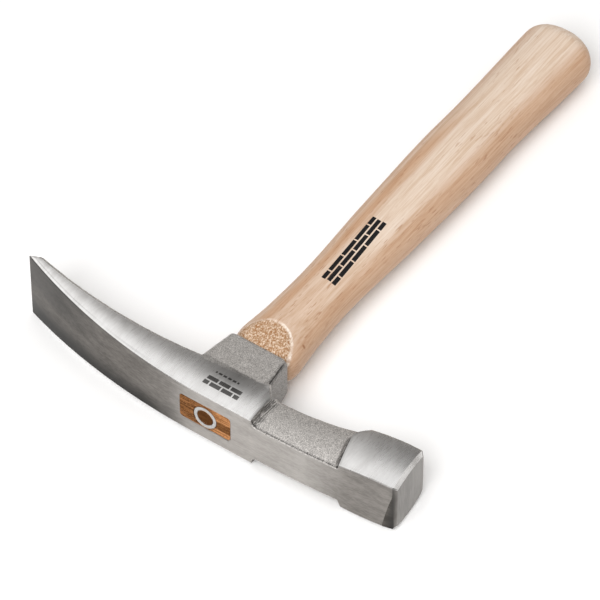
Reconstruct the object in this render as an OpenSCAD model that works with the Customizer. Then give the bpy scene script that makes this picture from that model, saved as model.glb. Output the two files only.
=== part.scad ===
// Brick hammer: a forged steel head on a wooden handle, held by a wooden wedge and a steel ring wedge.
// The hammer lies on its side. X runs along the head towards the striking face, Y runs down the handle
// towards its butt, and Z is up. The origin is the centre of the eye, on the flat top of the head.

/* [Blade] */
// Distance from the centre of the eye to the cutting edge
blade_reach = 106; // [94:0.2:118]
// Radius of the curve of the blade's top face, seen from the side
blade_radius = 292; // [264:4:372]
// Width of the blade at the cutting edge
blade_width = 35.2; // [31:0.2:39]
// Thickness of the blade just behind the cutting edge, before the bevel is ground
tip_depth = 4.4; // [3.8:0.1:7]
// Angle between the cutting bevel and the length of the head
bevel_angle = 37; // [28:1:45]

/* [Eye block] */
// Width of the top face beside the eye
block_width = 26.4; // [25.4:0.2:29]
// Depth of the block where the blade meets the socket
heel_depth = 18.7; // [17:0.1:20]
// Distance from the centre of the eye to the step down to the neck
block_reach = 23.8; // [23:0.1:26]

/* [Neck and poll] */
// Distance from the centre of the eye to the middle of the striking face
poll_reach = 93.4; // [88:0.2:102]
// Place of the step between the neck and the poll
poll_start = 66.8; // [62:0.2:70]
// Width of the top face along the neck
neck_width = 19.2; // [17:0.2:22]
// Depth of the neck at the eye block
neck_depth = 18.7; // [17:0.1:20]
// Width of the top face along the poll
poll_width = 26; // [23:0.2:28]
// Depth of the poll
poll_depth = 25.3; // [23:0.1:28]
// Radius of the curve of the poll's top face, seen from the side
poll_radius = 620; // [480:20:840]
// Lean of the striking face towards the handle
face_lean = 5.5; // [0:0.5:8]
// Width of the ground bevel round the striking face
face_bevel = 1.5; // [0.8:0.1:2.2]

/* [Socket and eye] */
// Distance from the top face to the end of the socket
socket_end = 38.4; // [34:0.2:42]
// Thickness of the socket at its end
socket_width = 21.8; // [20.6:0.2:24]
// Length of the eye at the top face
eye_length = 26.2; // [24.6:0.2:27]
// Width of the eye at the top face
eye_width = 13.7; // [13.1:0.1:14.8]
// Length lost by the eye from the top face to its waist
eye_draft = 1.1; // [0.6:0.1:1.5]

/* [Handle] */
// Distance from the top face of the head to the butt of the handle
handle_end = 277.6; // [245:0.2:305]
// Thickness of the handle as a share of its width
handle_flatness = 0.8; // [0.7:0.02:0.9]
// Roundness of the handle's section: 2 is an ellipse, and more is squarer
handle_squareness = 2.2; // [2:0.1:2.8]
// Height above the middle plane at which the handle is sawn flat beside the socket
flat_height = 10.5; // [10:0.1:11.2]

/* [Wedges] */
// Thickness of the wooden wedge at its head
wedge_thickness = 4.7; // [3.8:0.1:5.6]
// Depth to which the wooden wedge is driven
wedge_depth = 23.4; // [19:0.2:28]
// Outer diameter of the ring wedge
ring_diameter = 11.8; // [11:0.1:12]
// Bore of the ring wedge
ring_bore = 8; // [7.4:0.1:8.4]
// Depth to which the ring wedge is driven
ring_depth = 15; // [12:0.5:17]

/* [Hidden] */
$fn = 64;

// The top face is a true plane between these two places, and curves away from it on both sides
flat_from = -3.8;
flat_to = 20.6;
// Metal left above that plane, which is then planed off
planing = 0.25;
// How far the wood and the ring sit below the top face
recess = 0.2;
// Height of the broken edge along the top face, and how far it stands out
edge_height = 0.7;
edge_out = 0.3;
// Radius of the long edges on the handle side
under_round = 1.5;
// Bulge of the cheeks as a share of the head's depth
cheek_crown = 0.05;
// Place where the blade's underside meets the socket, and where the block's underside turns up to the neck
heel_x = -15;
chin_x = 18.7;
chin_depth = 21.9;
step_depth = 15.4;
// The blade starts to widen here, and widens along this power of the distance
widen_x = -9;
widen_power = 1.6;
// Rise of the neck's underside towards the poll
neck_rise = 6.6;
// How much slimmer and shallower the poll's ends are than its middle
poll_barrel = 0.65;
poll_belly = 0.5;
// Length and size of the curve between the block and the neck
step_curve = 3;
step_fillet = 1.5;
// The wall between the neck and the poll leans: depth below the top face, and shift along X there
wall_lean = [[0, 0], [16, -4.2], [20, -3.2], [24, 0], [30, 0.8]];
// Reach of that shift along the neck and the poll
wall_reach = 13;
// Length of the poll's slanted start, and the share of its extra width that is reached at once
poll_slant = 1.5;
poll_step = 0.75;
// Socket: reach of its end on each side of the eye's centre, and slopes of its faces towards the head
socket_back = 14.3;
socket_front = 15.6;
back_slope = 0.075;
front_slope = 0.19;
side_slope = 0.143;
socket_round = 3.8;
// Where the socket meets the cheeks, and how far below that its foot is buried in the head
socket_crease = 19.2;
socket_root = 15;
root_inset = 2;
// Depth of the waist of the eye, and its flare again towards the end of the socket
eye_waist = 17;
eye_flare = 0.5;
overlap = 4;
big = 400;
tiny = 0.1;

// Handle: distance from the top face and half width, at the places where its outline turns
handle_outline = [
    [socket_end - 19, 16.1],
    [socket_end + 7.5, 15.8],
    [socket_end + 24, 14.2],
    [89, 13.3],
    [132, 15],
    [182, 16.3],
    [213, 16],
    [handle_end - 15, 17.2],
    [handle_end + 19, 17.2]
];
shoulder_round = 10.5;
butt_round = 12;
shoulder_power = 2.4;
butt_power = 2.4;
// Share of its width that the handle loses where it meets the socket
shoulder_drop = 0.28;
// The shoulder sits a little towards the poll, as the socket does, and so does the butt
shoulder_offset = 0.5;
centred_at = 89;
butt_offset = 0.7;
butt_from = 200;
// Rise of the sawn flats, per millimetre towards the butt
flat_slope = 0.1;

// The wooden wedge is off the middle of the eye, and so is the ring
wedge_offset = -1.3;
wedge_tip = 0.8;
ring_offset = -0.55;
ring_tip_wall = 0.5;
ring_edge = 1.9;
ring_taper = 0.65;

function clamp(v, low, high) = min(max(v, low), high);
function smooth(u) = let (t = clamp(u, 0, 1)) t * t * (3 - 2 * t);
function arc_drop(d, r) = r - sqrt(r * r - d * d);

// Top of the head at x, as a distance along Y
function top_y(x) =
    x <= flat_from ? arc_drop(flat_from - x, blade_radius)
    : x >= flat_to ? arc_drop(x - flat_to, poll_radius)
    : -planing;

// Depth of the head below its top at x
poll_middle = (poll_start + poll_reach) / 2;
poll_half = (poll_reach - poll_start) / 2;
function barrel(x) = pow((x - poll_middle) / poll_half, 2);
function blade_depth(x) = heel_depth - (heel_depth - tip_depth) * (heel_x - x) / (blade_reach + heel_x);
function block_depth(x) = heel_depth + (chin_depth - heel_depth) * (x - heel_x) / (chin_x - heel_x);
function chin(x) = chin_depth + (step_depth - chin_depth) * (x - chin_x) / (block_reach - chin_x);
function neck_profile(x) =
    neck_depth + neck_rise * pow((x - block_reach) / (poll_start - block_reach), 2) - top_y(x);
function depth(x) =
    x < heel_x ? blade_depth(x)
    : x < chin_x ? block_depth(x)
    : x < block_reach ? chin(x)
    : x < poll_start ? neck_profile(x)
    : poll_depth - poll_belly * barrel(x);

// Half the width of the top face at x
function blade_half(x) =
    (block_width + (blade_width - block_width)
    * pow(max(widen_x - x, 0) / (blade_reach + widen_x), widen_power)) / 2;
function neck_half(x) =
    neck_width / 2 + step_fillet * pow(max(block_reach + step_curve - x, 0) / step_curve, 2);
function poll_slanted(x) =
    neck_width / 2 + (poll_width - neck_width) / 2 * clamp(poll_step + (x - poll_start) / poll_slant, 0, 1);
function half(x) =
    x < block_reach ? blade_half(x)
    : x < poll_start ? neck_half(x)
    : min(poll_slanted(x), poll_width / 2 - poll_barrel * barrel(x));

// Outline of the head across X, from the top edge down one cheek and round the underside
cheek_steps = 6;
round_steps = 3;
function cheek(x, side) = [
    for (i = [0 : cheek_steps])
        let (
            s = i / cheek_steps,
            d = depth(x),
            run = d - edge_height - under_round
        )
        [x, top_y(x) + edge_height + s * run, side * (half(x) + edge_out + 4 * cheek_crown * d * s * (1 - s))]
];
function under(x, side) = [
    for (i = [1 : round_steps])
        let (a = 90 * i / round_steps)
        [
            x,
            top_y(x) + depth(x) - under_round * (1 - sin(a)),
            side * (half(x) + edge_out - under_round * (1 - cos(a)))
        ]
];
function one_side(x, side) = concat([[x, top_y(x), side * half(x)]], cheek(x, side), under(x, side));
function reversed(list) = [for (i = [len(list) - 1 : -1 : 0]) list[i]];
function wall_shift(x, below_top) = lookup(below_top, wall_lean) * smooth(1 - abs(x - poll_start) / wall_reach);
function head_section(x) = [
    for (p = concat(one_side(x, 1), reversed(one_side(x, -1))))
        [x + wall_shift(x, p.y - top_y(x)), p.y, p.z]
];

// Places along X where the head's outline is drawn. Both ends are drawn long, and are cut back later.
spare = 4;
function spread(from, to, count) = [for (i = [0 : count]) from + (to - from) * i / count];
head_places = concat(
    spread(-blade_reach - spare, heel_x - tiny, 18),
    [heel_x, flat_from, flat_from + tiny, (flat_from + chin_x) / 2, chin_x],
    [flat_to - tiny, flat_to, block_reach - tiny],
    spread(block_reach, block_reach + step_curve, 3),
    spread(block_reach + step_curve + spare, poll_start - tiny, 8),
    spread(poll_start, poll_start + poll_slant / 2, 2),
    spread(poll_start + spare, poll_reach + spare, 7)
);

// A closed solid through a row of outlines that all have the same number of points
module loft(sections) {
    rows = len(sections);
    count = len(sections[0]);
    sides = [
        for (i = [0 : rows - 2], j = [0 : count - 1])
            let (k = (j + 1) % count, a = i * count + j, b = i * count + k)
            each [[a, b, b + count], [a, b + count, a + count]]
    ];
    first = [for (j = [count - 1 : -1 : 0]) j];
    last = [for (j = [0 : count - 1]) (rows - 1) * count + j];
    polyhedron(points = [for (s = sections) each s], faces = concat([first], sides, [last]));
}

// Half-space cutter: everything on the +X side of the plane x = 0, before it is turned into place
module cutter() {
    translate([0, -big / 2, -big / 2]) cube(big);
}

module head_bar() {
    difference() {
        loft([for (x = head_places) head_section(x)]);
        translate([0, -big / 2, 0]) cube(big, center = true);
        cutting_bevel();
        striking_cuts();
    }
}

// The bevel that leaves the cutting edge at the blade's end
module cutting_bevel() {
    edge_y = top_y(-blade_reach);
    translate([-blade_reach, edge_y, 0]) rotate([0, 0, bevel_angle + 90]) cutter();
}

// The striking face, and the bevel on each of its four sides
module striking_cuts() {
    middle = top_y(poll_reach) + poll_depth / 2;
    across = poll_width / 2 + edge_out;
    along = poll_depth / 2;
    translate([poll_reach, middle, 0]) rotate([0, 0, face_lean]) {
        cutter();
        for (side = [-1, 1]) {
            translate([-face_bevel, side * along, 0]) rotate([0, 0, side * 45]) cutter();
            translate([-face_bevel, 0, side * across]) rotate([0, -side * 45, 0]) cutter();
        }
    }
}

// The socket that reaches down the handle, as a row of rounded rectangles across Y
corner_steps = 6;
function socket_outline(y, side_half) =
    let (
        low = -socket_back - back_slope * (socket_end - y),
        high = socket_front + front_slope * (socket_end - y),
        corners = [[high, -side_half], [high, side_half], [low, side_half], [low, -side_half]]
    )
    [
        for (c = [0 : 3], i = [0 : corner_steps])
            let (
                a = 90 * (c - 1 + i / corner_steps),
                inset_x = c < 2 ? -socket_round : socket_round,
                inset_z = (c == 1 || c == 2) ? -socket_round : socket_round
            )
            [
                corners[c][0] + inset_x + socket_round * cos(a),
                y,
                corners[c][1] + inset_z + socket_round * sin(a)
            ]
    ];
module socket() {
    end_half = socket_width / 2;
    crease_half = end_half + side_slope * (socket_end - socket_crease);
    loft([
        socket_outline(socket_root, crease_half - root_inset),
        socket_outline(socket_crease, crease_half),
        socket_outline(socket_end, end_half)
    ]);
}

// The eye: widest at the top face, with a waist that the wedges spread the wood against
module eye_shape(from, to) {
    function profile(top, waist, end) = [
        [-top, 0], [top, 0], [waist, eye_waist], [end, socket_end], [end, socket_end + overlap],
        [-end, socket_end + overlap], [-end, socket_end], [-waist, eye_waist]
    ];
    waist_length = eye_length - eye_draft;
    waist_width = eye_width - eye_draft;
    intersection() {
        linear_extrude(eye_width * 2, center = true)
            polygon(profile(eye_length / 2, waist_length / 2, waist_length / 2 + eye_flare));
        rotate([0, -90, 0]) linear_extrude(eye_length * 2, center = true)
            polygon([for (p = profile(eye_width / 2, waist_width / 2, waist_width / 2 + eye_flare)) p]);
        translate([-big / 2, from, -big / 2]) cube([big, to - from, big]);
    }
}

// Fills the flare above the top face too, so that the cut leaves no skin there
module eye_hole() {
    eye_shape(0, socket_end + overlap);
    translate([-eye_length / 2, -1, -eye_width / 2]) cube([eye_length, 1, eye_width]);
}

module head() {
    color("silver") difference() {
        union() {
            head_bar();
            socket();
        }
        eye_hole();
    }
}

// Half width of the handle at y: a smooth curve through the places of its outline
function catmull(p0, p1, p2, p3, u) =
    0.5 * (2 * p1 + (p2 - p0) * u + (2 * p0 - 5 * p1 + 4 * p2 - p3) * u * u
    + (3 * p1 - p0 - 3 * p2 + p3) * u * u * u);
function outline_at(y, i) =
    y > handle_outline[i + 1][0] ? outline_at(y, i + 1)
    : catmull(
        handle_outline[i - 1][1], handle_outline[i][1], handle_outline[i + 1][1],
        handle_outline[min(i + 2, len(handle_outline) - 1)][1],
        (y - handle_outline[i][0]) / (handle_outline[i + 1][0] - handle_outline[i][0])
    );
function rounding(d, length, power) = pow(max(1 - pow(clamp(1 - d / length, 0, 1), power), 0), 1 / power);
function shoulder_share(y) =
    1 - shoulder_drop * (1 - rounding(y - socket_end, shoulder_round, shoulder_power));
function butt_share(y) = rounding(handle_end - y, butt_round, butt_power);
function handle_half(y) = outline_at(y, 1) * shoulder_share(y) * butt_share(y);
function handle_offset(y) =
    shoulder_offset * (1 - smooth((y - socket_end) / (centred_at - socket_end)))
    + butt_offset * smooth((y - butt_from) / (handle_end - butt_from));
function signed_power(v, p) = sign(v) * pow(abs(v), p);
handle_sides = 32;
function handle_section(y) = [
    for (i = [0 : handle_sides - 1])
        let (a = 360 * i / handle_sides, r = handle_half(y), p = 2 / handle_squareness)
        [
            handle_offset(y) + r * signed_power(cos(a), p),
            y,
            r * handle_flatness * signed_power(sin(a), p)
        ]
];
// Places down the handle where its section is drawn, closer together at both ends
handle_places = concat(
    [for (i = [0 : 5]) socket_end + shoulder_round * (1 - cos(90 * i / 6))],
    spread(socket_end + shoulder_round, handle_end - butt_round, 34),
    [for (i = [1 : 8]) handle_end - butt_round + (butt_round - tiny) * sin(90 * i / 8)]
);

module grip() {
    difference() {
        loft([for (y = handle_places) handle_section(y)]);
        for (side = [-1, 1])
            translate([0, socket_end, side * flat_height])
                rotate([side * atan(flat_slope), 0, 0])
                    translate([-big / 2, -big / 2, side > 0 ? 0 : -big]) cube(big);
    }
}

module handle() {
    color("burlywood") difference() {
        union() {
            grip();
            eye_shape(recess, socket_end + overlap);
        }
        wedge_solid();
        ring_solid();
    }
}

// The wooden wedge fills the saw kerf along the whole eye
module wedge_solid() {
    head_half = wedge_thickness / 2;
    tip_half = wedge_tip / 2;
    end = recess + wedge_depth;
    intersection() {
        rotate([0, -90, 0]) linear_extrude(big, center = true) polygon([
            [wedge_offset - head_half, recess], [wedge_offset + head_half, recess],
            [wedge_offset + tip_half, end], [wedge_offset - tip_half, end]
        ]);
        eye_shape(recess, end);
    }
}

module wooden_wedge() {
    color("saddlebrown") difference() {
        wedge_solid();
        ring_solid();
    }
}

// A short tube that narrows as it goes in, sharpened at its buried end
module ring_solid() {
    outer = ring_diameter / 2;
    inner = ring_bore / 2;
    translate([0, recess, ring_offset]) rotate([-90, 0, 0]) rotate_extrude() polygon([
        [inner, 0], [outer, 0], [outer - ring_taper, ring_depth - ring_edge],
        [inner + ring_tip_wall, ring_depth], [inner, ring_depth]
    ]);
}

module ring_wedge() {
    color("lightgray") ring_solid();
}

head();
handle();
wooden_wedge();
ring_wedge();
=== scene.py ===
import math

import bmesh
import bpy
from mathutils import Matrix, Vector, noise


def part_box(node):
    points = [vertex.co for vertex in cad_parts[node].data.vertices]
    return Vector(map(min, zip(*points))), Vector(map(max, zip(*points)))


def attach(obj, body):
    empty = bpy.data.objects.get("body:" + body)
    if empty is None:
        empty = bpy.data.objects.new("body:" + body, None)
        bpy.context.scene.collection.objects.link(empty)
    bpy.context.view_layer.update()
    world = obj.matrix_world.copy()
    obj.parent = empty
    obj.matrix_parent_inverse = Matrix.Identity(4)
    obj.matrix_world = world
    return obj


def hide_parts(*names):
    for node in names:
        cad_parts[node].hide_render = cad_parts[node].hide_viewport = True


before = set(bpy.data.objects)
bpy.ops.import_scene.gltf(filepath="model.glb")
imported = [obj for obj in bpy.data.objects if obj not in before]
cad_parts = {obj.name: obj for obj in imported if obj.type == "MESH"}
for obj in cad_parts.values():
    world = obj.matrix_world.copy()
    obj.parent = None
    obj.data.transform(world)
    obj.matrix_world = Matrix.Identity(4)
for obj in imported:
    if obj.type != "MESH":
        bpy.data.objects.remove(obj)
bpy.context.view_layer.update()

# Brick hammer lying on its side: a forged head, a wooden handle, a wooden wedge and a ring wedge.
# X runs along the head towards the striking face, Y down the handle, Z is up. Shapes are worked out in
# millimetres, like the CAD part, and scaled to metres as each mesh is made.

MM = 0.001
head_low, head_high = (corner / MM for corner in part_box("head"))
_, handle_high = (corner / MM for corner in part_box("handle"))
wedge_low, wedge_high = (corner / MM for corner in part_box("wooden_wedge"))
ring_low, ring_high = (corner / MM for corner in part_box("ring_wedge"))

# ======== Sizes, in millimetres ========

# Blade
BLADE_REACH = -head_low.x
BLADE_RADIUS = 292
BLADE_WIDTH = 35.2
TIP_DEPTH = 4.4
EDGE_THICKNESS = 0.16
BEVEL_SLOPE = math.tan(math.radians(37))
BEVEL_ROWS = 4
WIDEN_X = -9
WIDEN_POWER = 1.6

# Eye block
FLAT_FROM = -3.8
FLAT_TO = 20.6
BLOCK_WIDTH = 26.4
BLOCK_REACH = 23.8
HEEL_X = -15
HEEL_DEPTH = 18.7
CHIN_X = 18.7
CHIN_DEPTH = 21.9
STEP_DEPTH = 15.4
STEP_THICKNESS = 0.45

# Neck and poll
NECK_WIDTH = 19.2
NECK_DEPTH = 18.7
NECK_RISE = 6.6
STEP_CURVE = 3
STEP_FILLET = 1.5
POLL_START = 66.8
POLL_REACH = 93.4
POLL_WIDTH = 26
POLL_DEPTH = 25.3
POLL_RADIUS = 620
POLL_BARREL = 0.65
POLL_BELLY = 0.5
FACE_LEAN = math.tan(math.radians(5.5))
FACE_BEVEL = 1.5
FACE_CROWN = 0.3
CORNER_ROUND = 4.0
CORNER_RUN = 3.5
WALL_SLANT = 0.5
LOW_WALL_SLANT = 1.4
GROOVE_START = POLL_START - 2
GROOVE_DEPTH = 0.8
GROOVE_WIDTH = 0.8
FACET_POINTS = ((93.0, 4.1, 11.6), (89.8, 3.95, -13.2), (93.5, 4.75, -13.2))

# Edges of the bar
EDGE_HEIGHT = 0.7
EDGE_OUT = 0.3
UNDER_ROUND = 1.5
CHEEK_CROWN = 0.05

# The side that lies underneath is a little fuller
FAR_POLL = 0.5
FAR_BLADE = 0.12

# Socket and eye
SOCKET_END = head_high.y
SOCKET_HALF = 10.9
SOCKET_BACK = 14.3
SOCKET_FRONT = 15.6
BACK_SLOPE = 0.075
FRONT_SLOPE = 0.19
SIDE_SLOPE = 0.143
SOCKET_CREASE = 19.2
SOCKET_ROOT = 15
ROOT_INSET = 2
SOCKET_RIM = 0.8
SOCKET_CORNER = 3.4
EYE_HALF_X = 13.1
EYE_HALF_Z = 6.85
EYE_DRAFT = 0.55
EYE_FLARE = 0.5
EYE_WAIST = 17
EYE_CHAMFER = 0.35
EYE_CORNER = 1.7

# Handle
HANDLE_END = handle_high.y + 0.05
HANDLE_OUTLINE = [
    (SOCKET_END - 19, 16.1),
    (SOCKET_END + 7.5, 15.8),
    (SOCKET_END + 24, 14.2),
    (89, 13.3),
    (132, 15.0),
    (182, 16.3),
    (213, 16.0),
    (HANDLE_END - 15, 17.2),
    (HANDLE_END + 19, 17.2),
]
HANDLE_FLATNESS = 0.8
HANDLE_POWER = 2.2
SHOULDER_ROUND = 10.5
SHOULDER_DROP = 0.28
SHOULDER_OFFSET = 0.5
BUTT_ROUND = 12
END_POWER = 2.4
CENTRED_AT = 89
BUTT_OFFSET = 0.7
BUTT_FROM = 200
FLAT_HEIGHT = 10.5
FLAT_SLOPE = 0.1
SAWN_CENTRE = 0.5
SAWN_HALF = 13.2
SAWN_REACH = 14.7
SAWN_EDGE = 1.10
SAWN_FADE = 0.19
HANDLE_SIDES = 160
FINE_ROWS_END = 66
TENON_GAP = 0.02

# Tan of the grip in one streak beside the middle and near the head, and painted shade on its sides
SIDE_SHADE = 0.8
SIDE_SHADE_FROM = 0.4
SIDE_SHADE_FADE = 0.5
STREAK_TAN = 0.9
STREAK_ACROSS = -0.45
STREAK_WIDTH = 0.45
STREAK_END = 235
STREAK_FADE = 70
HEAD_TAN = 0.5
HEAD_TAN_END = 140
HEAD_TAN_FADE = 80
LEAST_TAN = 0.1

# Wedges
TOP_RECESS = wedge_low.y
WEDGE_CENTRE = (wedge_low.z + wedge_high.z) / 2
WEDGE_HALF = (wedge_high.z - wedge_low.z) / 2
WEDGE_TIP_HALF = 0.4
WEDGE_END_GAP = 0.04
RING_CENTRE = (ring_low.z + ring_high.z) / 2
RING_OUTER = (ring_high.x - ring_low.x) / 2
RING_INNER = 4.0
RING_TAPER = 0.65
RING_EDGE = 1.9
RING_RIM = 0.45
RING_SIDES = 96
KERF_GAP = 0.02
RING_GAP = 0.03
CUT_ABOVE = 1.0

# Points nearer to each other than this, in metres, become one
MERGE = 1e-6


def clamp(value, low, high):
    return min(max(value, low), high)


def mix(a, b, share):
    return a + (b - a) * share


def smooth(share):
    t = clamp(share, 0, 1)
    return t * t * (3 - 2 * t)


def spread(start, end, count):
    return [mix(start, end, i / count) for i in range(count + 1)]


def arc_drop(distance, radius):
    return radius - math.sqrt(radius * radius - distance * distance)


def peak(distance, width):
    """1 at no distance, falling away as a bell curve."""
    return math.exp(-((distance / width) ** 2))


def turned_in(degrees):
    """How far in a quarter round of radius 1 has come after turning this far."""
    return 1 - math.cos(math.radians(degrees))


def still_left(degrees):
    """How much height a quarter round of radius 1 has left after turning this far."""
    return 1 - math.sin(math.radians(degrees))


def along_keys(keys, x):
    """Straight-line value at x through (place, value) pairs."""
    if x <= keys[0][0]:
        return keys[0][1]
    for (x0, v0), (x1, v1) in zip(keys, keys[1:]):
        if x <= x1:
            return mix(v0, v1, (x - x0) / (x1 - x0))
    return keys[-1][1]


def wobble(x, y, z, wavelength, seed=0.0):
    """Smooth noise between about -1 and 1, the same on every run."""
    return noise.noise(Vector((x / wavelength + seed, y / wavelength, z / wavelength)))


# ======== Mesh helpers ========


def loft(rows, close_ends=True):
    """A bmesh tube through rows of (x, y, z) points in millimetres. Its faces' material indices are left for
    the caller to set.
    """
    bm = bmesh.new()
    rings = [[bm.verts.new(Vector(p) * MM) for p in row] for row in rows]
    count = len(rows[0])
    for a, b in zip(rings, rings[1:]):
        for j in range(count):
            k = (j + 1) % count
            bm.faces.new((a[j], a[k], b[k], b[j]))
    if close_ends:
        bm.faces.new(list(reversed(rings[0])))
        bm.faces.new(rings[-1])
    return bm


def finish_bmesh(bm, name, materials):
    """Turns a bmesh into an object, with merged points and outward normals."""
    bmesh.ops.remove_doubles(bm, verts=bm.verts, dist=MERGE)
    bmesh.ops.dissolve_degenerate(bm, edges=bm.edges, dist=MERGE)
    bmesh.ops.recalc_face_normals(bm, faces=bm.faces)
    mesh = bpy.data.meshes.new(name)
    bm.to_mesh(mesh)
    bm.free()
    for material in materials:
        mesh.materials.append(material)
    obj = bpy.data.objects.new(name, mesh)
    bpy.context.scene.collection.objects.link(obj)
    return obj


def boolean(obj, other, operation):
    """Applies an exact boolean to obj, and removes the other object."""
    modifier = obj.modifiers.new(operation, "BOOLEAN")
    modifier.operation = operation
    modifier.solver = "EXACT"
    modifier.object = other
    graph = bpy.context.evaluated_depsgraph_get()
    result = bpy.data.meshes.new_from_object(obj.evaluated_get(graph))
    obj.modifiers.remove(modifier)
    old = obj.data
    obj.data = result
    result.name = old.name
    bpy.data.meshes.remove(old)
    bpy.data.objects.remove(other)


def shade(obj, angle):
    """Smooth shading with crisp edges where faces meet at more than the angle, in degrees."""
    obj.data.shade_smooth()
    obj.data.set_sharp_from_angle(angle=math.radians(angle))


def paint(obj, name, value):
    """Stores value(x, y, z), worked out in millimetres at each vertex, as a named attribute."""
    layer = obj.data.attributes.new(name, "FLOAT", "POINT")
    for vertex, item in zip(obj.data.vertices, layer.data):
        item.value = value(*(vertex.co / MM))


def superellipse(angle, half_x, half_z, power):
    c, s = math.cos(angle), math.sin(angle)
    return (
        half_x * math.copysign(abs(c) ** (2 / power), c),
        half_z * math.copysign(abs(s) ** (2 / power), s),
    )


def rounded_rectangle(low_x, high_x, half_z, radius, steps, side_steps):
    """Points round a rectangle with rounded corners, anticlockwise from its +X side, seen with Z up."""
    corners = [(high_x, half_z, 0), (low_x, half_z, 90), (low_x, -half_z, 180), (high_x, -half_z, 270)]
    points = []
    for cx, cz, start in corners:
        centre_x = cx - math.copysign(radius, cx)
        centre_z = cz - math.copysign(radius, cz)
        for i in range(steps + 1):
            a = math.radians(start + 90 * i / steps)
            points.append((centre_x + radius * math.cos(a), centre_z + radius * math.sin(a)))
    filled = []
    for i, (p, q) in enumerate(zip(points, points[1:] + points[:1])):
        filled.append(p)
        if i % (steps + 1) == steps:
            for share in spread(0, 1, side_steps)[1:-1]:
                filled.append((mix(p[0], q[0], share), mix(p[1], q[1], share)))
    return filled


# ======== Materials ========


class Nodes:
    """Builds a node material a node at a time."""

    def __init__(self, name):
        self.material = bpy.data.materials.new(name)
        self.material.use_nodes = True
        self.tree = self.material.node_tree
        self.shader = self.tree.nodes["Principled BSDF"]
        self.place = self.tree.nodes.new("ShaderNodeTexCoord").outputs["Object"]

    def link(self, source, socket):
        if isinstance(source, (int, float, tuple)):
            socket.default_value = source
        else:
            self.tree.links.new(source, socket)

    def math(self, operation, a, b=0.0, clamped=False):
        node = self.tree.nodes.new("ShaderNodeMath")
        node.operation = operation
        node.use_clamp = clamped
        self.link(a, node.inputs[0])
        self.link(b, node.inputs[1])
        return node.outputs[0]

    def add(self, a, b, clamped=False):
        return self.math("ADD", a, b, clamped)

    def times(self, a, b):
        return self.math("MULTIPLY", a, b)

    def range(self, value, low, high, to_low=0.0, to_high=1.0):
        node = self.tree.nodes.new("ShaderNodeMapRange")
        node.interpolation_type = "SMOOTHSTEP"
        for socket, item in zip(node.inputs, (value, low, high, to_low, to_high)):
            self.link(item, socket)
        return node.outputs[0]

    def axis(self, letter):
        node = self.tree.nodes.new("ShaderNodeSeparateXYZ")
        self.link(self.place, node.inputs[0])
        return node.outputs[letter]

    def stretched(self, scale):
        """Object coordinates, scaled per millimetre of each axis."""
        node = self.tree.nodes.new("ShaderNodeMapping")
        self.link(self.place, node.inputs["Vector"])
        node.inputs["Scale"].default_value = [s / MM for s in scale]
        return node.outputs[0]

    def noise(self, scale, detail=2.0, rough=0.5):
        node = self.tree.nodes.new("ShaderNodeTexNoise")
        self.link(self.stretched(scale), node.inputs["Vector"])
        node.inputs["Scale"].default_value = 1.0
        node.inputs["Detail"].default_value = detail
        node.inputs["Roughness"].default_value = rough
        return node.outputs["Fac"]

    def inside(self, value, low, high):
        """1 where the value lies between low and high, in millimetres."""
        above = self.math("GREATER_THAN", value, low * MM)
        return self.times(above, self.math("LESS_THAN", value, high * MM))

    def bricks(self, u, v, length, rows, brick, row, gap):
        """1 on the bricks of a plain bonded wall, from the corner where u and v are 0, in millimetres."""
        node = self.tree.nodes.new("ShaderNodeTexBrick")
        node.offset = 0.5
        flat = self.tree.nodes.new("ShaderNodeCombineXYZ")
        self.link(u, flat.inputs[0])
        self.link(v, flat.inputs[1])
        self.link(flat.outputs[0], node.inputs["Vector"])
        sizes = {"Scale": 1.0, "Brick Width": brick * MM, "Row Height": row * MM, "Mortar Size": gap * MM / 2}
        for name, value in {**sizes, "Mortar Smooth": 0.0}.items():
            node.inputs[name].default_value = value
        area = self.times(self.inside(u, 0, length), self.inside(v, 0, rows * row))
        return self.times(area, self.math("SUBTRACT", 1.0, node.outputs["Fac"]))

    def on_top(self, mask, z):
        """The mask, kept to the upper half of the object."""
        return self.times(mask, self.math("GREATER_THAN", z, 0.0))

    def shifted(self, value, start):
        return self.math("SUBTRACT", value, start * MM)

    def distance(self, a, b):
        return self.math("SQRT", self.add(self.math("POWER", a, 2.0), self.math("POWER", b, 2.0)))

    def attribute(self, name):
        node = self.tree.nodes.new("ShaderNodeAttribute")
        node.attribute_name = name
        return node.outputs["Fac"]

    def ramp(self, value, stops):
        node = self.tree.nodes.new("ShaderNodeValToRGB")
        ramp = node.color_ramp
        while len(ramp.elements) < len(stops):
            ramp.elements.new(0.5)
        for element, (place, colour) in zip(ramp.elements, stops):
            element.position = place
            element.color = (*colour, 1)
        self.link(value, node.inputs[0])
        return node.outputs[0]

    def blend(self, share, a, b, kind="MIX"):
        node = self.tree.nodes.new("ShaderNodeMix")
        node.data_type = "RGBA"
        node.blend_type = kind
        self.link(share, node.inputs["Factor"])
        for item, name in ((a, "A"), (b, "B")):
            socket = [s for s in node.inputs if s.name == name and s.type == "RGBA"][0]
            self.link((*item, 1) if isinstance(item, tuple) else item, socket)
        return [s for s in node.outputs if s.type == "RGBA"][0]

    def bump(self, height, distance, strength=1.0, before=None):
        node = self.tree.nodes.new("ShaderNodeBump")
        node.inputs["Distance"].default_value = distance * MM
        node.inputs["Strength"].default_value = strength
        self.link(height, node.inputs["Height"])
        if before:
            self.link(before, node.inputs["Normal"])
        return node.outputs[0]

    def set(self, **values):
        for name, value in values.items():
            self.link(value, self.shader.inputs[name.replace("_", " ")])
        return self.material


def grey(value, warm=0.0):
    return (value * (1 + warm), value, value * (1 - warm))
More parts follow.
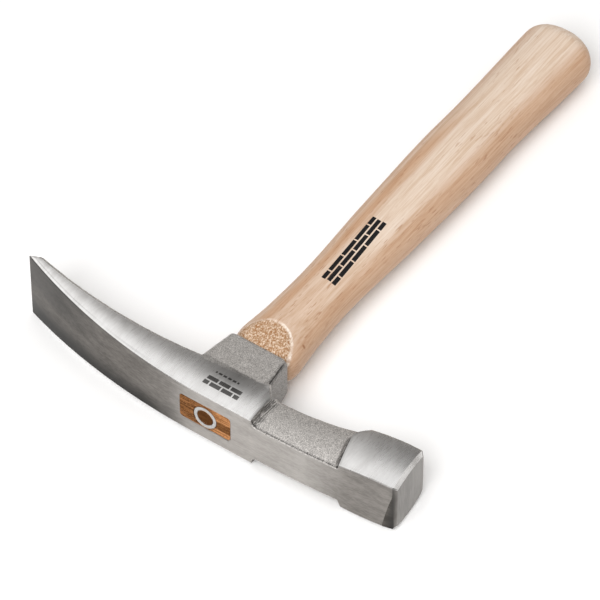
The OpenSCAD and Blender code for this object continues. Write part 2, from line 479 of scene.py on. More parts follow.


# Metal where the painted shade is darkest, and the stops of the colour ramps
PAINTED_SHADE = grey(0.012, 0.1)
# Greys of the painted dark reflection on the ground top face
PAINTED_REFLECTION_GREYS = [(0.0, grey(0.068, 0.13)), (1.0, grey(0.152, 0.10))]
FORGED_GREYS = [(0.0, grey(0.25, 0.05)), (1.0, grey(0.74, 0.04))]
PALE_WOOD = [(0.0, (0.61, 0.455, 0.335)), (0.45, (0.70, 0.57, 0.46)), (1.0, (0.77, 0.665, 0.575))]
ROUGH_WOOD = [(0.0, (0.34, 0.165, 0.07)), (0.5, (0.465, 0.292, 0.173)), (1.0, (0.77, 0.61, 0.475))]
OLD_WOOD = [(0.0, (0.055, 0.020, 0.006)), (1.0, (0.27, 0.118, 0.043))]

# The cheek grows rougher between these places along X, towards the blade's tip
DULL_FROM = -40
DULL_TO = -100

# Growth rings of the handle: where their middle lies, how far they bend, and how close they are
GROWTH_X = -34
GROWTH_Z = -26
GROWTH_BEND_X = 18
GROWTH_BEND_Z = 9
GROWTH_RATE = 1.35

# The wood inside the ring is dark, and so is a thin line round the outside of it
CORE_FROM = 4.2
CORE_FULL = 3.6
GAP_WIDTH = 0.5


def ground_steel(name, light, dark, along, roughness=0.34, tip_roughness=0.0, etched=False):
    """Satin steel with brush marks. along is their frequency on each axis, per millimetre. tip_roughness
    is added at the tip of the blade."""
    n = Nodes(name)
    streaks = n.noise(along, detail=2.0, rough=0.6)
    broad = n.noise(tuple(a * 0.2 for a in along), detail=2.0, rough=0.5)
    cloud = n.noise((0.05, 0.05, 0.05), detail=2.0)
    tone = n.add(n.times(streaks, 0.55), n.times(broad, 0.45))
    colour = n.ramp(n.range(tone, 0.3, 0.7), [(0.0, dark), (1.0, light)])
    reflection_colour = n.ramp(n.range(tone, 0.32, 0.68), PAINTED_REFLECTION_GREYS)
    # Painted dark reflection of the ground top face, blended in from its attribute
    colour = n.blend(n.attribute("painted_dark_reflection"), colour, reflection_colour)
    # Painted shade from the shade attribute, blended towards near black
    colour = n.blend(n.attribute("shade"), colour, PAINTED_SHADE)
    # Dark scale and painted shade in the corners and creases
    colour = n.blend(n.attribute("scale_and_shade"), colour, grey(0.05, 0.04))
    if etched:
        x, y = n.axis("X"), n.axis("Y")
        wall_x, wall_y = n.shifted(x, ETCH_X), n.shifted(y, ETCH_Y)
        wall = n.bricks(wall_x, wall_y, ETCH_LENGTH, ETCH_ROWS, ETCH_BRICK, ETCH_ROW, ETCH_GAP)
        dash_x, dash_y = n.shifted(x, DASH_X), n.shifted(y, DASH_Y)
        dashes = n.bricks(dash_x, dash_y, DASH_LENGTH, 1, DASH_BRICK, DASH_ROW, ETCH_GAP)
        mark = n.times(n.add(wall, dashes), n.range(cloud, 0.3, 0.7, 0.85, 1.0))
        colour = n.blend(n.on_top(mark, n.axis("Z")), colour, grey(0.075, 0.03))
    rough = n.add(n.times(streaks, 0.12), roughness - 0.1)
    rough = n.add(rough, n.times(cloud, 0.08))
    rough = n.add(rough, n.range(n.axis("X"), DULL_TO * MM, DULL_FROM * MM, tip_roughness, 0.0))
    return n.set(Base_Color=colour, Roughness=rough, Metallic=1.0, Normal=n.bump(broad, 0.003))


def forged_steel(name):
    """Matte grey steel as it left the forge, with a fine speckle and small pits."""
    n = Nodes(name)
    speckle = n.noise((2.3, 2.3, 2.3), detail=3.0, rough=0.75)
    grain = n.noise((0.5, 0.5, 0.5), detail=2.0, rough=0.6)
    pits = n.range(n.noise((1.3, 1.3, 1.3), detail=1.0, rough=0.5), 0.27, 0.33, 1.0, 0.0)
    tone = n.add(n.times(speckle, 0.88), n.times(grain, 0.12))
    colour = n.ramp(n.range(tone, 0.33, 0.67), FORGED_GREYS)
    # Painted shade from the shade attribute, blended towards near black
    colour = n.blend(n.attribute("shade"), colour, PAINTED_SHADE)
    colour = n.blend(n.times(pits, 0.4), colour, grey(0.14, 0.05))
    scores = n.noise((2.2, 0.12, 2.2), detail=2.0, rough=0.7)
    scale_and_shade = n.attribute("scale_and_shade")
    solid = n.add(n.range(scores, 0.42, 0.58, 0.1, 1.0), n.range(scale_and_shade, 0.82, 0.93), clamped=True)
    lines = n.times(scale_and_shade, solid)
    # Dark scale and painted shade along the steps, grooves and socket corner
    colour = n.blend(lines, colour, grey(0.05, 0.06))
    relief = n.math("SUBTRACT", n.times(speckle, 0.4), n.times(pits, 0.8))
    first = n.bump(relief, 0.03)
    second = n.bump(scores, 0.06, 0.5, before=first)
    return n.set(Base_Color=colour, Roughness=0.55, Metallic=0.8, Normal=second)


def wood(name):
    """Pale close-grained wood, with the grain along Y, a rough-sawn patch and a printed mark."""
    n = Nodes(name)
    x, y, z = (n.axis(letter) for letter in "XYZ")
    bend = n.noise((0.02, 0.004, 0.02), detail=1.0)
    growth_x = n.add(n.shifted(x, GROWTH_X), n.times(bend, GROWTH_BEND_X * MM))
    growth_z = n.add(n.shifted(z, GROWTH_Z), n.times(bend, GROWTH_BEND_Z * MM))
    wave = n.math("SINE", n.times(n.distance(growth_x, growth_z), GROWTH_RATE / MM))
    rings = n.range(wave, -1.0, 1.0)
    fibres = n.noise((1.25, 0.028, 1.25), detail=4.0, rough=0.68)
    wide = n.noise((0.22, 0.004, 0.22), detail=2.0, rough=0.5)
    tone = n.add(n.times(fibres, 0.80), n.times(wide, 0.15))
    tone = n.add(tone, n.times(rings, 0.05))
    colour = n.ramp(n.range(tone, 0.30, 0.72), PALE_WOOD)
    pores = n.range(n.noise((1.4, 0.15, 1.4), detail=1.0, rough=0.5), 0.62, 0.72)
    patches = n.range(n.noise((0.07, 0.016, 0.07), detail=1.0), 0.42, 0.62, 0.1, 0.55)
    colour = n.blend(n.times(pores, patches), colour, (0.40, 0.21, 0.11))
    # The tan attribute holds real tan and, on the grip's sides, painted shade
    colour = n.blend(n.attribute("tan"), colour, (0.73, 0.525, 0.38), "MULTIPLY")
    from_knot = n.distance(n.shifted(x, KNOT_X), n.shifted(y, KNOT_Y))
    knot = n.range(from_knot, KNOT_FULL * MM, KNOT_REACH * MM, 0.8, 0.0)
    colour = n.blend(n.on_top(knot, z), colour, (0.30, 0.13, 0.055))
    sawn = n.attribute("sawn")
    crumbs = n.noise((1.4, 1.0, 1.4), detail=4.0, rough=0.75)
    rough_wood = n.ramp(n.range(crumbs, 0.37, 0.63), ROUGH_WOOD)
    edge = n.add(sawn, n.times(n.math("SUBTRACT", crumbs, 0.5), 0.4))
    # Painted highlight: a pale rim round the rough-sawn patch, stronger on the +X side
    rim = n.times(n.range(edge, 0.03, 0.25), n.range(edge, 0.5, 0.95, 1.0, 0.0))
    rim = n.times(rim, n.range(x, -6 * MM, 7 * MM, 0.3, 0.9))
    rim = n.times(rim, n.range(n.noise((0.8, 0.3, 0.8), detail=2.0), 0.35, 0.6, 0.25, 1.0))
    colour = n.blend(n.range(edge, 0.40, 0.70), colour, rough_wood)
    colour = n.blend(rim, colour, (0.94, 0.84, 0.74))
    along = n.shifted(y, MARK_START)
    across = n.add(n.shifted(x, MARK_SIDE), n.times(along, MARK_SLOPE))
    ink = n.bricks(along, across, MARK_END - MARK_START, MARK_ROWS, MARK_BRICK, MARK_ROW, MARK_GAP)
    ink = n.on_top(ink, z)
    ink = n.times(ink, n.range(fibres, 0.25, 0.35, 0.8, 1.0))
    colour = n.blend(ink, colour, (0.008, 0.008, 0.009))
    smooth_bump = n.bump(n.math("SUBTRACT", fibres, n.times(pores, 0.5)), 0.03)
    rough_bump = n.bump(n.times(crumbs, sawn), 0.4, 0.9, before=smooth_bump)
    gloss = n.add(n.times(sawn, 0.25), n.add(n.times(fibres, 0.12), 0.38))
    return n.set(Base_Color=colour, Roughness=gloss, Specular_IOR_Level=0.14, Normal=rough_bump)


def sawn_wood(name, light, middle, dark):
    """End grain, with fine lines along X. It is darker towards the blade, and inside the ring."""
    n = Nodes(name)
    x, z = n.axis("X"), n.axis("Z")
    lines = n.noise((0.10, 0.8, 1.25), detail=3.0, rough=0.75)
    spots = n.noise((1.3, 1.3, 1.8), detail=2.0, rough=0.6)
    tone = n.add(n.times(lines, 0.65), n.times(spots, 0.35))
    colour = n.ramp(n.range(tone, 0.39, 0.61), [(0.0, dark), (0.5, middle), (1.0, light)])
    old = n.ramp(n.range(tone, 0.39, 0.61), OLD_WOOD)
    colour = n.blend(n.range(x, -1 * MM, 6 * MM, 0.85, 0.0), colour, old)
    core = n.range(n.distance(x, n.shifted(z, RING_CENTRE)), CORE_FULL * MM, CORE_FROM * MM, 0.8, 0.0)
    colour = n.blend(core, colour, (0.075, 0.027, 0.006))
    from_ring = n.distance(x, n.shifted(z, RING_CENTRE))
    gap = n.range(from_ring, RING_OUTER * MM, (RING_OUTER + GAP_WIDTH) * MM, 0.7, 0.0)
    colour = n.blend(n.times(gap, n.math("SUBTRACT", 1.0, core)), colour, (0.05, 0.02, 0.008))
    return n.set(Base_Color=colour, Roughness=0.8, Specular_IOR_Level=0.04, Normal=n.bump(tone, 0.05))


# Printed mark on the handle: three short courses of plain bricks
MARK_START = 86
MARK_END = 127.5
MARK_SIDE = -1.2
MARK_SLOPE = 0.045
MARK_ROWS = 3
MARK_ROW = 2.65
MARK_BRICK = 10.4
MARK_GAP = 0.7

# A small knot on the upper side, near the head
KNOT_X = 14.0
KNOT_Y = 52.2
KNOT_FULL = 0.3
KNOT_REACH = 0.9

# Etched mark on the upper cheek beside the eye: two short courses of bricks, and a row of dashes
ETCH_X = -5
ETCH_Y = 5
ETCH_LENGTH = 18
ETCH_ROWS = 2
ETCH_BRICK = 6.0
ETCH_ROW = 2.8
ETCH_GAP = 0.7
DASH_X = -3.5
DASH_Y = 12.4
DASH_LENGTH = 12
DASH_BRICK = 2.4
DASH_ROW = 1.8

# The ground steel comes in lit and shaded copies: a pale base on the cheeks, darker on the top face and the
# striking face, and near black on the facet. These differences are painted light and shade standing in for
# what each face reflects.
top_steel_shaded = ground_steel("ground_top", grey(0.43, 0.05), grey(0.31, 0.06), (0.35, 1.5, 1.5))
cheek_steel_lit = ground_steel(
    "ground_cheek", grey(0.93, 0.005), grey(0.79, 0.01), (1.3, 0.25, 0.25),
    roughness=0.29, tip_roughness=0.3, etched=True,
)
face_steel_shaded = ground_steel("ground_face", grey(0.235, 0.06), grey(0.145, 0.06), (0.2, 0.9, 0.14))
rough_steel = forged_steel("forged")
facet_steel_shaded = ground_steel("ground_facet", grey(0.040, 0.06), grey(0.012, 0.06), (0.3, 0.3, 1.6), 0.42)
head_materials = [top_steel_shaded, cheek_steel_lit, rough_steel, facet_steel_shaded, face_steel_shaded]
TOP, CHEEK, FORGED, FACET, FACE = range(5)
handle_wood = wood("handle_wood")
end_wood = sawn_wood("end_wood", (0.54, 0.26, 0.115), (0.39, 0.175, 0.068), (0.20, 0.082, 0.027))
dark_wood = sawn_wood("wedge_wood", (0.24, 0.105, 0.038), (0.155, 0.064, 0.021), (0.088, 0.034, 0.011))
ring_steel = ground_steel("ring_steel", grey(0.55), grey(0.45), (2.0, 0.4, 2.0), 0.36)

# ======== Head ========


def top_y(x):
    if x <= FLAT_FROM:
        return arc_drop(FLAT_FROM - x, BLADE_RADIUS)
    if x >= FLAT_TO:
        return arc_drop(x - FLAT_TO, POLL_RADIUS)
    return 0.0


POLL_MIDDLE = (POLL_START + POLL_REACH) / 2
POLL_HALF = (POLL_REACH - POLL_START) / 2
FACE_MIDDLE = top_y(POLL_REACH) + POLL_DEPTH / 2
FACE_MIDDLE_X = POLL_REACH + FACE_LEAN * POLL_DEPTH / 2 - FACE_BEVEL
BLADE_REGION, WALL_REGION, NECK_REGION, POLL_REGION, FACE_REGION = "blade", "wall", "neck", "poll", "face"


def barrel(x):
    return ((x - POLL_MIDDLE) / POLL_HALF) ** 2


def blade_depth(x):
    full = HEEL_DEPTH - (HEEL_DEPTH - TIP_DEPTH) * (HEEL_X - x) / (BLADE_REACH + HEEL_X)
    bevel = top_y(-BLADE_REACH) + BEVEL_SLOPE * (x + BLADE_REACH) - top_y(x)
    return max(min(full, bevel), EDGE_THICKNESS)


def depth(x, region):
    if region == POLL_REGION:
        return POLL_DEPTH - POLL_BELLY * barrel(max(x, POLL_START))
    if region == NECK_REGION:
        return NECK_DEPTH + NECK_RISE * ((x - BLOCK_REACH) / (POLL_START - BLOCK_REACH)) ** 2 - top_y(x)
    if x < HEEL_X:
        return blade_depth(x)
    return along_keys([(HEEL_X, HEEL_DEPTH), (CHIN_X, CHIN_DEPTH), (BLOCK_REACH, STEP_DEPTH)], x)


def half(x, region):
    if region == POLL_REGION:
        return POLL_WIDTH / 2 - POLL_BARREL * barrel(max(x, POLL_START))
    if region == NECK_REGION:
        return NECK_WIDTH / 2 + STEP_FILLET * max(BLOCK_REACH + STEP_CURVE - x, 0) ** 2 / STEP_CURVE ** 2
    wide = max(WIDEN_X - x, 0) / (BLADE_REACH + WIDEN_X)
    return mix(BLOCK_WIDTH, BLADE_WIDTH, wide ** WIDEN_POWER) / 2


def far_extra(x, region):
    """How much wider the lower side is than the upper one."""
    if region == POLL_REGION:
        return FAR_POLL
    return FAR_BLADE * smooth((-60 - x) / 30)


TOP_STEPS = 6
EDGE_STEPS = 3
CHEEK_STEPS = 18
ROUND_STEPS = 4
UNDER_STEPS = 6


def half_section(x, region):
    """(y, z, zone) from the middle of the top face, down one cheek, to the middle of the underside."""
    d, h, t = depth(x, region), half(x, region), top_y(x)
    edge = min(EDGE_HEIGHT, d * 0.3)
    out = EDGE_OUT * edge / EDGE_HEIGHT
    radius = min(UNDER_ROUND, d * 0.35)
    points = [(t, share * (h - 0.15), TOP) for share in spread(0, 1, TOP_STEPS)]
    for i in range(EDGE_STEPS + 1):
        a = math.radians(90 * i / EDGE_STEPS)
        points.append((t + edge * (1 - math.cos(a)), h + out * math.sin(a), CHEEK))
    run = d - edge - radius
    for share in spread(0, 1, CHEEK_STEPS)[1:]:
        bulge = 4 * CHEEK_CROWN * d * share * (1 - share)
        points.append((t + edge + share * run, h + out + bulge, CHEEK))
    for i in range(1, ROUND_STEPS + 1):
        a = math.radians(90 * i / ROUND_STEPS)
        y = t + d - radius * (1 - math.sin(a))
        points.append((y, h + out - radius * (1 - math.cos(a)), FORGED))
    inner = h + out - radius
    points += [(t + d, share * inner, FORGED) for share in spread(1, 0, UNDER_STEPS)[1:]]
    return points


def section(x, region):
    """A closed outline of (y, z, zone) across the bar at x."""
    side = half_section(x, region)
    fuller = 1 + far_extra(x, region) / half(x, region)
    other = [(y, -z * fuller, zone) for y, z, zone in reversed(side[1:-1])]
    return side + other


# How the wall of the poll leans on its way down the cheek, as (depth below the top, shift along X)
WALL_LEAN = [(0, 0.0), (16, -4.2), (20, -3.2), (24, 0.0), (30, 0.8)]
WALL_REACH = 13.0


def lean(x, y):
    """Shift along X of the poll's wall and of the metal near it."""
    near = smooth(1 - abs(x - POLL_START) / WALL_REACH)
    return along_keys(WALL_LEAN, y - top_y(x)) * near


def forged_bumps(x, y, z):
    return 0.13 * wobble(x, y, z, 3.1) + 0.06 * wobble(x, y, z, 1.3, 7.0)


def row(x, region, shift=None):
    """Points of one outline, with the forged zones' surface roughened, and each point's zone."""
    points, zones = [], []
    for y, z, zone in section(x, region):
        rough = zone == FORGED or (region == NECK_REGION and zone == CHEEK)
        px, py, pz = x, y, z
        if rough and abs(z) > 1:
            push = forged_bumps(x, y, z)
            fade = clamp((y - top_y(x) - 0.8) / 2, 0, 1)
            pz += math.copysign(push * fade, z)
            if y > top_y(x) + depth(x, region) - 0.5:
                py += push * 0.7
        if shift:
            px += shift(y, z)
        points.append((px + lean(px, py), py, pz))
        zones.append(zone)
    return points, zones


def between(a, b, share):
    return [tuple(mix(p, q, share) for p, q in zip(u, v)) for u, v in zip(a, b)]


def groove(x):
    """Depth of the groove that runs down the neck beside the poll's wall."""
    return GROOVE_DEPTH * peak(x - POLL_START + GROOVE_WIDTH, GROOVE_WIDTH)


def grooved(x, point):
    """A point of the neck's outline at x, moved in by the groove, except beside the middle and the top."""
    px, y, z = point
    if abs(z) <= 6:
        return point
    fade = clamp((y - top_y(x) - 0.3) / 1.5, 0, 1)
    return px, y, z - math.copysign(groove(x) * fade, z)


def ragged(y, z, share):
    """How far the ragged edge between the eye block and the neck is pushed along X."""
    if y <= 0.6:
        return 0
    return 0.32 * wobble(0, y * 0.2, z * 2.2, 1.0, 3.0) + 0.3 * share * wobble(0, y, z, 1.5, 11.0)


def face_x(y, z):
    """X of the striking face at (y, z): it leans, and is a little fuller in the middle."""
    spread_y = (y - FACE_MIDDLE) / (POLL_DEPTH / 2)
    spread_z = z / (POLL_WIDTH / 2)
    return POLL_REACH - FACE_LEAN * (y - FACE_MIDDLE) - FACE_CROWN * (spread_y ** 2 + spread_z ** 2) / 2


def inner_face_point(y, z):
    """The point of the striking face's edge that lies one bevel in from a point of the poll's outline."""
    inset = FACE_BEVEL / (POLL_DEPTH / 2)
    return FACE_MIDDLE + (y - FACE_MIDDLE) * (1 - inset), z * (1 - inset)


def bevelled_x(y, z):
    """X at which the bevel round the striking face starts, for a point of the poll's outline."""
    return face_x(*inner_face_point(y, z)) - FACE_BEVEL


def worn_corner(y, z, radius):
    """Rounds the corner of the poll's outline that lies underneath, on the handle side."""
    half_z = POLL_WIDTH / 2 - POLL_BARREL + EDGE_OUT + FAR_POLL
    over_y = y - (FACE_MIDDLE + POLL_DEPTH / 2 - radius)
    over_z = -z - (half_z - radius)
    reach = math.hypot(max(over_y, 0), max(over_z, 0))
    if over_y <= 0 or over_z <= 0 or reach <= radius:
        return y, z
    return y + over_y * (radius / reach - 1), z - over_z * (radius / reach - 1)


def build_bar():
    """The blade, eye block, neck and poll, as one closed tube with a shaped end."""
    rows, tags = [], []

    def add(points, zones, region):
        rows.append(points)
        tags.append((zones, region))

    bevel_end = -BLADE_REACH
    while BEVEL_SLOPE * (bevel_end + BLADE_REACH) + top_y(-BLADE_REACH) - top_y(bevel_end) < TIP_DEPTH:
        bevel_end += 0.05
    places = spread(-BLADE_REACH, bevel_end, BEVEL_ROWS) + spread(bevel_end, -BLADE_REACH + 12, 6)[1:]
    places += spread(-BLADE_REACH + 12, HEEL_X, 58)[1:] + spread(HEEL_X, BLOCK_REACH, 30)[1:]
    for x in places:
        points, zones = row(x, BLADE_REGION)
        add(points, zones, BLADE_REGION)
    block_end, zones = row(BLOCK_REACH, BLADE_REGION)
    step_start, step_end = BLOCK_REACH + STEP_THICKNESS, BLOCK_REACH + STEP_CURVE
    neck_start, _ = row(step_start, NECK_REGION)
    for share in spread(0, 1, 5)[1:-1]:
        wall = between(block_end, neck_start, share)
        add([(x + ragged(y, z, share), y, z) for x, y, z in wall], zones, WALL_REGION)
    for x in spread(step_start, step_end, 5) + spread(step_end, GROOVE_START, 40)[1:]:
        points, zones = row(x, NECK_REGION)
        add(points, zones, NECK_REGION)
    for x in spread(GROOVE_START, POLL_START, 6)[1:]:
        points, zones = row(x, NECK_REGION)
        add([grooved(x, point) for point in points], zones, NECK_REGION)
    neck_end = rows[-1]

    def slant(share):
        """Shift along X of the poll's wall, which slants more beside its lower top edge."""
        def shift(y, z):
            by_edge = z < 0 and y - top_y(POLL_START) < 3
            return share * (LOW_WALL_SLANT if by_edge else WALL_SLANT)
        return shift

    poll_start, zones = row(POLL_START, POLL_REGION, slant(1))
    for share in (0.3, 0.6, 0.9, 0.98):
        add(between(neck_end, poll_start, share), zones, WALL_REGION)
    add(poll_start, zones, POLL_REGION)
    last = POLL_REACH - CORNER_RUN
    for share in spread(0, 1, 20)[1:]:
        x = mix(POLL_START, last, share)
        points, zones = row(x, POLL_REGION, slant(1 - share) if share < 1 else None)
        end = [(bevelled_x(y, z), y, z) for _, y, z in points]
        drift = smooth((share - 0.4) / 0.6)
        leaned = [
            (px + drift * (ex - (POLL_REACH - FACE_BEVEL)), *worn_corner(y, z, CORNER_ROUND * drift))
            for (px, y, z), (ex, _, _) in zip(points, end)
        ]
        add(leaned, zones, POLL_REGION)
    outline = [worn_corner(y, z, CORNER_ROUND) for _, y, z in row(POLL_REACH - FACE_BEVEL, POLL_REGION)[0]]
    add([(bevelled_x(y, z) - 0.25, y, z) for y, z in outline], zones, POLL_REGION)
    add([(bevelled_x(y, z), y, z) for y, z in outline], zones, POLL_REGION)
    inner = [inner_face_point(y, z) for y, z in outline]
    face_zone = [CHEEK] * len(outline)
    for share in (1.0, 0.985, 0.9, 0.75, 0.55, 0.35, 0.15):
        ring = [(mix(FACE_MIDDLE, y, share), z * share) for y, z in inner]
        add([(face_x(y, z), y, z) for y, z in ring], face_zone, FACE_REGION)

    bm = loft(rows)
    bm.faces.ensure_lookup_table()
    count = len(rows[0])
    for i, (zones, region) in enumerate(tags[:-1]):
        next_region = tags[i + 1][1]
        for j in range(count):
            face = bm.faces[i * count + j]
            zone = max(zones[j], zones[(j + 1) % count])
            if region == BLADE_REGION and i < BEVEL_ROWS and zone == FORGED:
                zone = CHEEK
            if zone == CHEEK and (next_region == WALL_REGION or region in (WALL_REGION, NECK_REGION)):
                zone = FORGED
            if next_region == FACE_REGION:
                zone = CHEEK if region == POLL_REGION and zones[j] == CHEEK else FACE
            face.material_index = zone
    bm.faces[-1].material_index = FACE
    return bm


def cut_facet(bm):
    """Grinds a slanting facet off the corner between the top face and the striking face."""
    a, b, c = (Vector(p) * MM for p in FACET_POINTS)
    normal = (b - a).cross(c - a).normalized()
    if normal.x < 0:
        normal = -normal
    geometry = bm.verts[:] + bm.edges[:] + bm.faces[:]
    cut = bmesh.ops.bisect_plane(bm, geom=geometry, plane_co=a, plane_no=normal, clear_outer=True, dist=1e-7)
    edges = [e for e in cut["geom_cut"] if isinstance(e, bmesh.types.BMEdge)]
    made = bmesh.ops.contextual_create(bm, geom=edges)
    for face in made["faces"]:
        face.material_index = FACET


def build_socket():
    """The socket that reaches down the handle, closed at both ends."""
    crease_half = SOCKET_HALF + SIDE_SLOPE * (SOCKET_END - SOCKET_CREASE)
    places = [(SOCKET_ROOT, crease_half - ROOT_INSET, 0), (SOCKET_CREASE - 2.2, crease_half + 0.03, 0)]
    for y in spread(SOCKET_CREASE, SOCKET_END - SOCKET_RIM, 22):
        places.append((y, SOCKET_HALF + SIDE_SLOPE * (SOCKET_END - y), 0))
    for a in (30, 60, 90):
        y = SOCKET_END - SOCKET_RIM + SOCKET_RIM * math.sin(math.radians(a))
        places.append((y, SOCKET_HALF, SOCKET_RIM * turned_in(a)))
    rows = []
    for y, half_z, inset in places:
        low = -SOCKET_BACK - BACK_SLOPE * (SOCKET_END - y) + inset
        high = SOCKET_FRONT + FRONT_SLOPE * (SOCKET_END - y) - inset
        ring = []
        for x, z in rounded_rectangle(low, high, half_z - inset, SOCKET_CORNER, 8, 24):
            reach = math.hypot(x, z)
            push = forged_bumps(x, y, z) * (1 if SOCKET_CREASE < y < SOCKET_END - 1 else 0.3)
            ring.append((x * (1 + push / reach), y, z * (1 + push / reach)))
        rows.append(ring)
    bm = loft(rows)
    for face in bm.faces:
        face.material_index = FORGED
    return bm


def eye_outline(grow, corner_steps, side_steps):
    """The rounded rectangle of the eye at the top face, grown on each side."""
    half_x, half_z = EYE_HALF_X + grow, EYE_HALF_Z + grow
    return rounded_rectangle(-half_x, half_x, half_z, EYE_CORNER, corner_steps, side_steps)


def build_eye_cutter():
    """The hole for the handle: widest at the top face, with a small chamfer round its rim."""
    places = [(-1.0, EYE_CHAMFER + 1.0), (0.0, EYE_CHAMFER), (EYE_CHAMFER, 0.0)]
    waist, end = -EYE_DRAFT, EYE_FLARE - EYE_DRAFT
    places += [(EYE_WAIST, waist), (SOCKET_END, end), (SOCKET_END + 3, end)]
    rows = []
    for y, grow in places:
        rows.append([(x, y, z) for x, z in eye_outline(grow, 6, 4)])
    bm = loft(rows)
    for face in bm.faces:
        face.material_index = TOP
    return bm


bar = build_bar()
cut_facet(bar)
head = finish_bmesh(bar, "forged_head", head_materials)
boolean(head, finish_bmesh(build_socket(), "socket", head_materials), "UNION")
boolean(head, finish_bmesh(build_eye_cutter(), "eye", head_materials), "DIFFERENCE")
shade(head, 28)


def head_scale_and_shade(x, y, z):
    """Dark forge scale where grinding doesn't reach, together with painted shade, in the corners, creases and
    grooves.
    """
    below = y - top_y(x)
    wall = line = 0
    if abs(z) > 9.3 and below < 17:
        ragged_x = x + 0.45 * wobble(0, y, z, 1.1, 6.0)
        wall = 0.8 * smooth((x - BLOCK_REACH + 0.2) / 0.3) * smooth((BLOCK_REACH + 3.1 - ragged_x) / 0.6)
        wall *= smooth((below + 0.2) / 0.8)
    if BLOCK_REACH < x < POLL_START and abs(z) > 8:
        line = 0.97 * peak(below - 0.75 - 0.15 * wobble(x, 0, z, 1.6, 4.0), 0.40)
    if x < HEEL_X:
        line = 0.3 * smooth((-25 - x) / 20) * peak(below - 1.5, 0.22)
    wall_x = POLL_START + lean(POLL_START, y) - 0.5
    step = 0
    if 60 < x < 70 and abs(z) > 8:
        step = peak(x - wall_x, 0.95) * smooth((below - 0.1) / 0.8) * smooth((23 - below) / 5)
    ground = 0.9 * peak(x - FACE_MIDDLE_X + 0.1, 0.4) if x > 90 and below < 0.5 else 0
    corner = 0
    if y > SOCKET_CREASE + 1 and x > 10 and abs(z) > 8:
        edge_x = SOCKET_FRONT + FRONT_SLOPE * (SOCKET_END - y)
        edge_z = SOCKET_HALF + SIDE_SLOPE * (SOCKET_END - y)
        off = math.hypot(edge_x - x - 1.0, edge_z - abs(z) - 1.0)
        corner = peak(off, 0.9) * smooth((SOCKET_END - 1.5 - y) / 2)
    return clamp(max(wall, line, step, corner, ground), 0, 1)


# How much painted shade the ground top face has along X, standing in for its darker reflections: most on the
# blade, none beside the eye, and less on the poll
TOP_PAINTED_REFLECTION = [(-95, 1.0), (-55, 0.94), (-35, 0.86), (-20, 0.68), (-8, 0.12), (-3, 0.0), (50, 0.0), (72, 0.60)]

# Painted shade of the ground cheeks along X, near the top edge and low down beside the handle
CHEEK_PAINTED_SHADE = [(-60, 0.0), (-40, 0.12), (20, 0.12), (66, 0.05), (80, 0.20), (90, 0.30)]
LOW_PAINTED_SHADE = [(-35, 0.0), (-15, 0.12), (5, 0.46), (20, 0.24), (66, 0.0), (78, 0.10), (90, 0.14)]

# Points less than this far below the top face count as part of it
TOP_SKIN = 0.3


def head_painted_dark_reflection(x, y, z):
    """Painted dark reflection: only the ground top face is painted darker than the cheeks."""
    return along_keys(TOP_PAINTED_REFLECTION, x) if y - top_y(x) < TOP_SKIN else 0.0


def top_painted_shade(x, z):
    """Painted shade on the darkest parts of the blade's top face, along its lower edge and towards its tip.
    """
    lower = 0.95 * smooth((-1 - z) / 13) * smooth((-4 - x) / 30)
    tip = 0.62 * smooth((-50 - x) / 40) * smooth((z + 7) / 14)
    return max(lower, tip)


def head_painted_shade(x, y, z):
    """Painted shade: how much darker the metal is painted on the blade's top face, the socket's front wall
    and the cheeks.
    """
    below = y - top_y(x)
    if below < TOP_SKIN:
        return top_painted_shade(x, z)
    if y > SOCKET_CREASE and HEEL_X - 4 < x < BLOCK_REACH:
        on_top = abs(z) > SOCKET_HALF + SIDE_SLOPE * (SOCKET_END - y) - 0.9
        return 0.0 if on_top else 0.45 * smooth((x - SOCKET_FRONT + 2) / 1.5)
    if BLOCK_REACH < x < POLL_START - 1 or abs(z) < 9 or x > bevelled_x(y, z) - 0.1:
        return 0.0
    low = along_keys(LOW_PAINTED_SHADE, x) * smooth((below - 5) / 9) * smooth((26 - below) / 6)
    return along_keys(CHEEK_PAINTED_SHADE, x) + low


# The shade attribute is painted shade
paint(head, "shade", head_painted_shade)
paint(head, "scale_and_shade", head_scale_and_shade)
paint(head, "painted_dark_reflection", head_painted_dark_reflection)
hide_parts("head")
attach(head, "root")

# ======== Handle ========


def outline_half(y):
    """Half width of the handle at y: a smooth curve through the keys."""
    keys = HANDLE_OUTLINE
    i = 1
    while y > keys[i + 1][0]:
        i += 1
    p0, p1, p2 = keys[i - 1][1], keys[i][1], keys[i + 1][1]
    p3 = keys[min(i + 2, len(keys) - 1)][1]
    u = (y - keys[i][0]) / (keys[i + 1][0] - keys[i][0])
    linear = (p2 - p0) * u
    square = (2 * p0 - 5 * p1 + 4 * p2 - p3) * u * u
    cube = (3 * p1 - p0 - 3 * p2 + p3) * u ** 3
    return 0.5 * (2 * p1 + linear + square + cube)


def end_rounding(distance, length):
    return max(1 - clamp(1 - distance / length, 0, 1) ** END_POWER, 0) ** (1 / END_POWER)


def handle_half(y):
    shoulder = 1 - SHOULDER_DROP * (1 - end_rounding(y - SOCKET_END, SHOULDER_ROUND))
    return outline_half(y) * shoulder * end_rounding(HANDLE_END - y, BUTT_ROUND)


def handle_offset(y):
    shoulder = SHOULDER_OFFSET * (1 - smooth((y - SOCKET_END) / (CENTRED_AT - SOCKET_END)))
    return shoulder + BUTT_OFFSET * smooth((y - BUTT_FROM) / (HANDLE_END - BUTT_FROM))


def flat_at(y):
    return FLAT_HEIGHT + FLAT_SLOPE * (y - SOCKET_END)


def sawn_share(x, y, z):
    """1 on the rough-sawn scallops beside the socket, fading out over their edges."""
    if y < SOCKET_END - 1:
        return 0.0
    off = math.hypot((x - SAWN_CENTRE) / SAWN_HALF, (y - SOCKET_END) / SAWN_REACH)
    return smooth((SAWN_EDGE - off) / SAWN_FADE) * smooth((abs(z) - 3) / 2)


